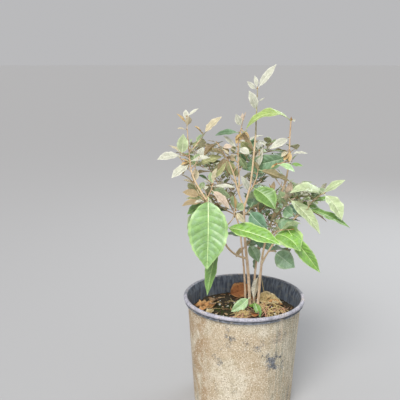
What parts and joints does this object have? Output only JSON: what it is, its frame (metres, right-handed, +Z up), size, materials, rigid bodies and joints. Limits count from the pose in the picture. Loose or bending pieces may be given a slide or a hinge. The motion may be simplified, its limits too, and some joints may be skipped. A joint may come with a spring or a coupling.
{
  "type": "potted silverberry shrub",
  "caption": "Young evergreen silverberry shrub with slender branching stems and pointed silvery-green leaves, growing in a round black nursery pot filled with soil.",
  "frame": {"origin": "centre of the pot's flat underside, on the surface that it stands on", "axes": "+Z up through the pot, +X to the right as seen from the front, -Y to the front, where the largest leaf hangs"},
  "size_m": [0.2998, 0.2597, 0.5613],
  "materials": {
    "pot": "black moulded plastic under a coat of dried tan mud, worn grey along the rim",
    "soil": "dark crumbly bark compost with moss, straw and white grit",
    "bark": "thin tan bark with fine lengthwise cracks and brown scales on young wood",
    "leaves": "leathery leaves, glossy green above and silver-scaled below, the young ones scaly silver all over",
    "dead_leaves": "dry curled leaves, tan and brown"
  },
  "bodies": {
    "root": {"bough_back": "bark", "bough_back_left": "bark", "bough_back_right": "bark", "bough_inner": "bark", "bough_leader": "bark", "bough_lean": "bark", "bough_left": "bark", "bough_left_up": "bark", "bough_middle": "bark", "bough_outer": "bark", "fallen_leaf_brown": "dead_leaves", "fallen_leaf_buff": "dead_leaves", "fallen_leaf_green": "dead_leaves", "fallen_leaf_pale": "dead_leaves", "fallen_leaf_rust": "dead_leaves", "fallen_leaf_tan": "dead_leaves", "foliage_back": "leaves", "foliage_back_left": "leaves", "foliage_back_low": "leaves", "foliage_back_right": "leaves", "foliage_back_side": "leaves", "foliage_far": "leaves", "foliage_fork": "leaves", "foliage_front": "leaves", "foliage_front_left": "leaves", "foliage_heart": "leaves", "foliage_inside": "leaves", "foliage_lean": "leaves", "foliage_left_side": "leaves", "foliage_left_top": "leaves", "foliage_low_left": "leaves", "foliage_low_right": "leaves", "foliage_middle": "leaves", "foliage_right": "leaves", "foliage_right_low": "leaves", "foliage_right_top": "leaves", "foliage_top": "leaves", "pot": "pot", "soil": "soil", "stem_left": "bark", "stem_left_thin": "bark", "stem_pale": "bark", "stem_right": "bark"}
  },
  "joints": []
}
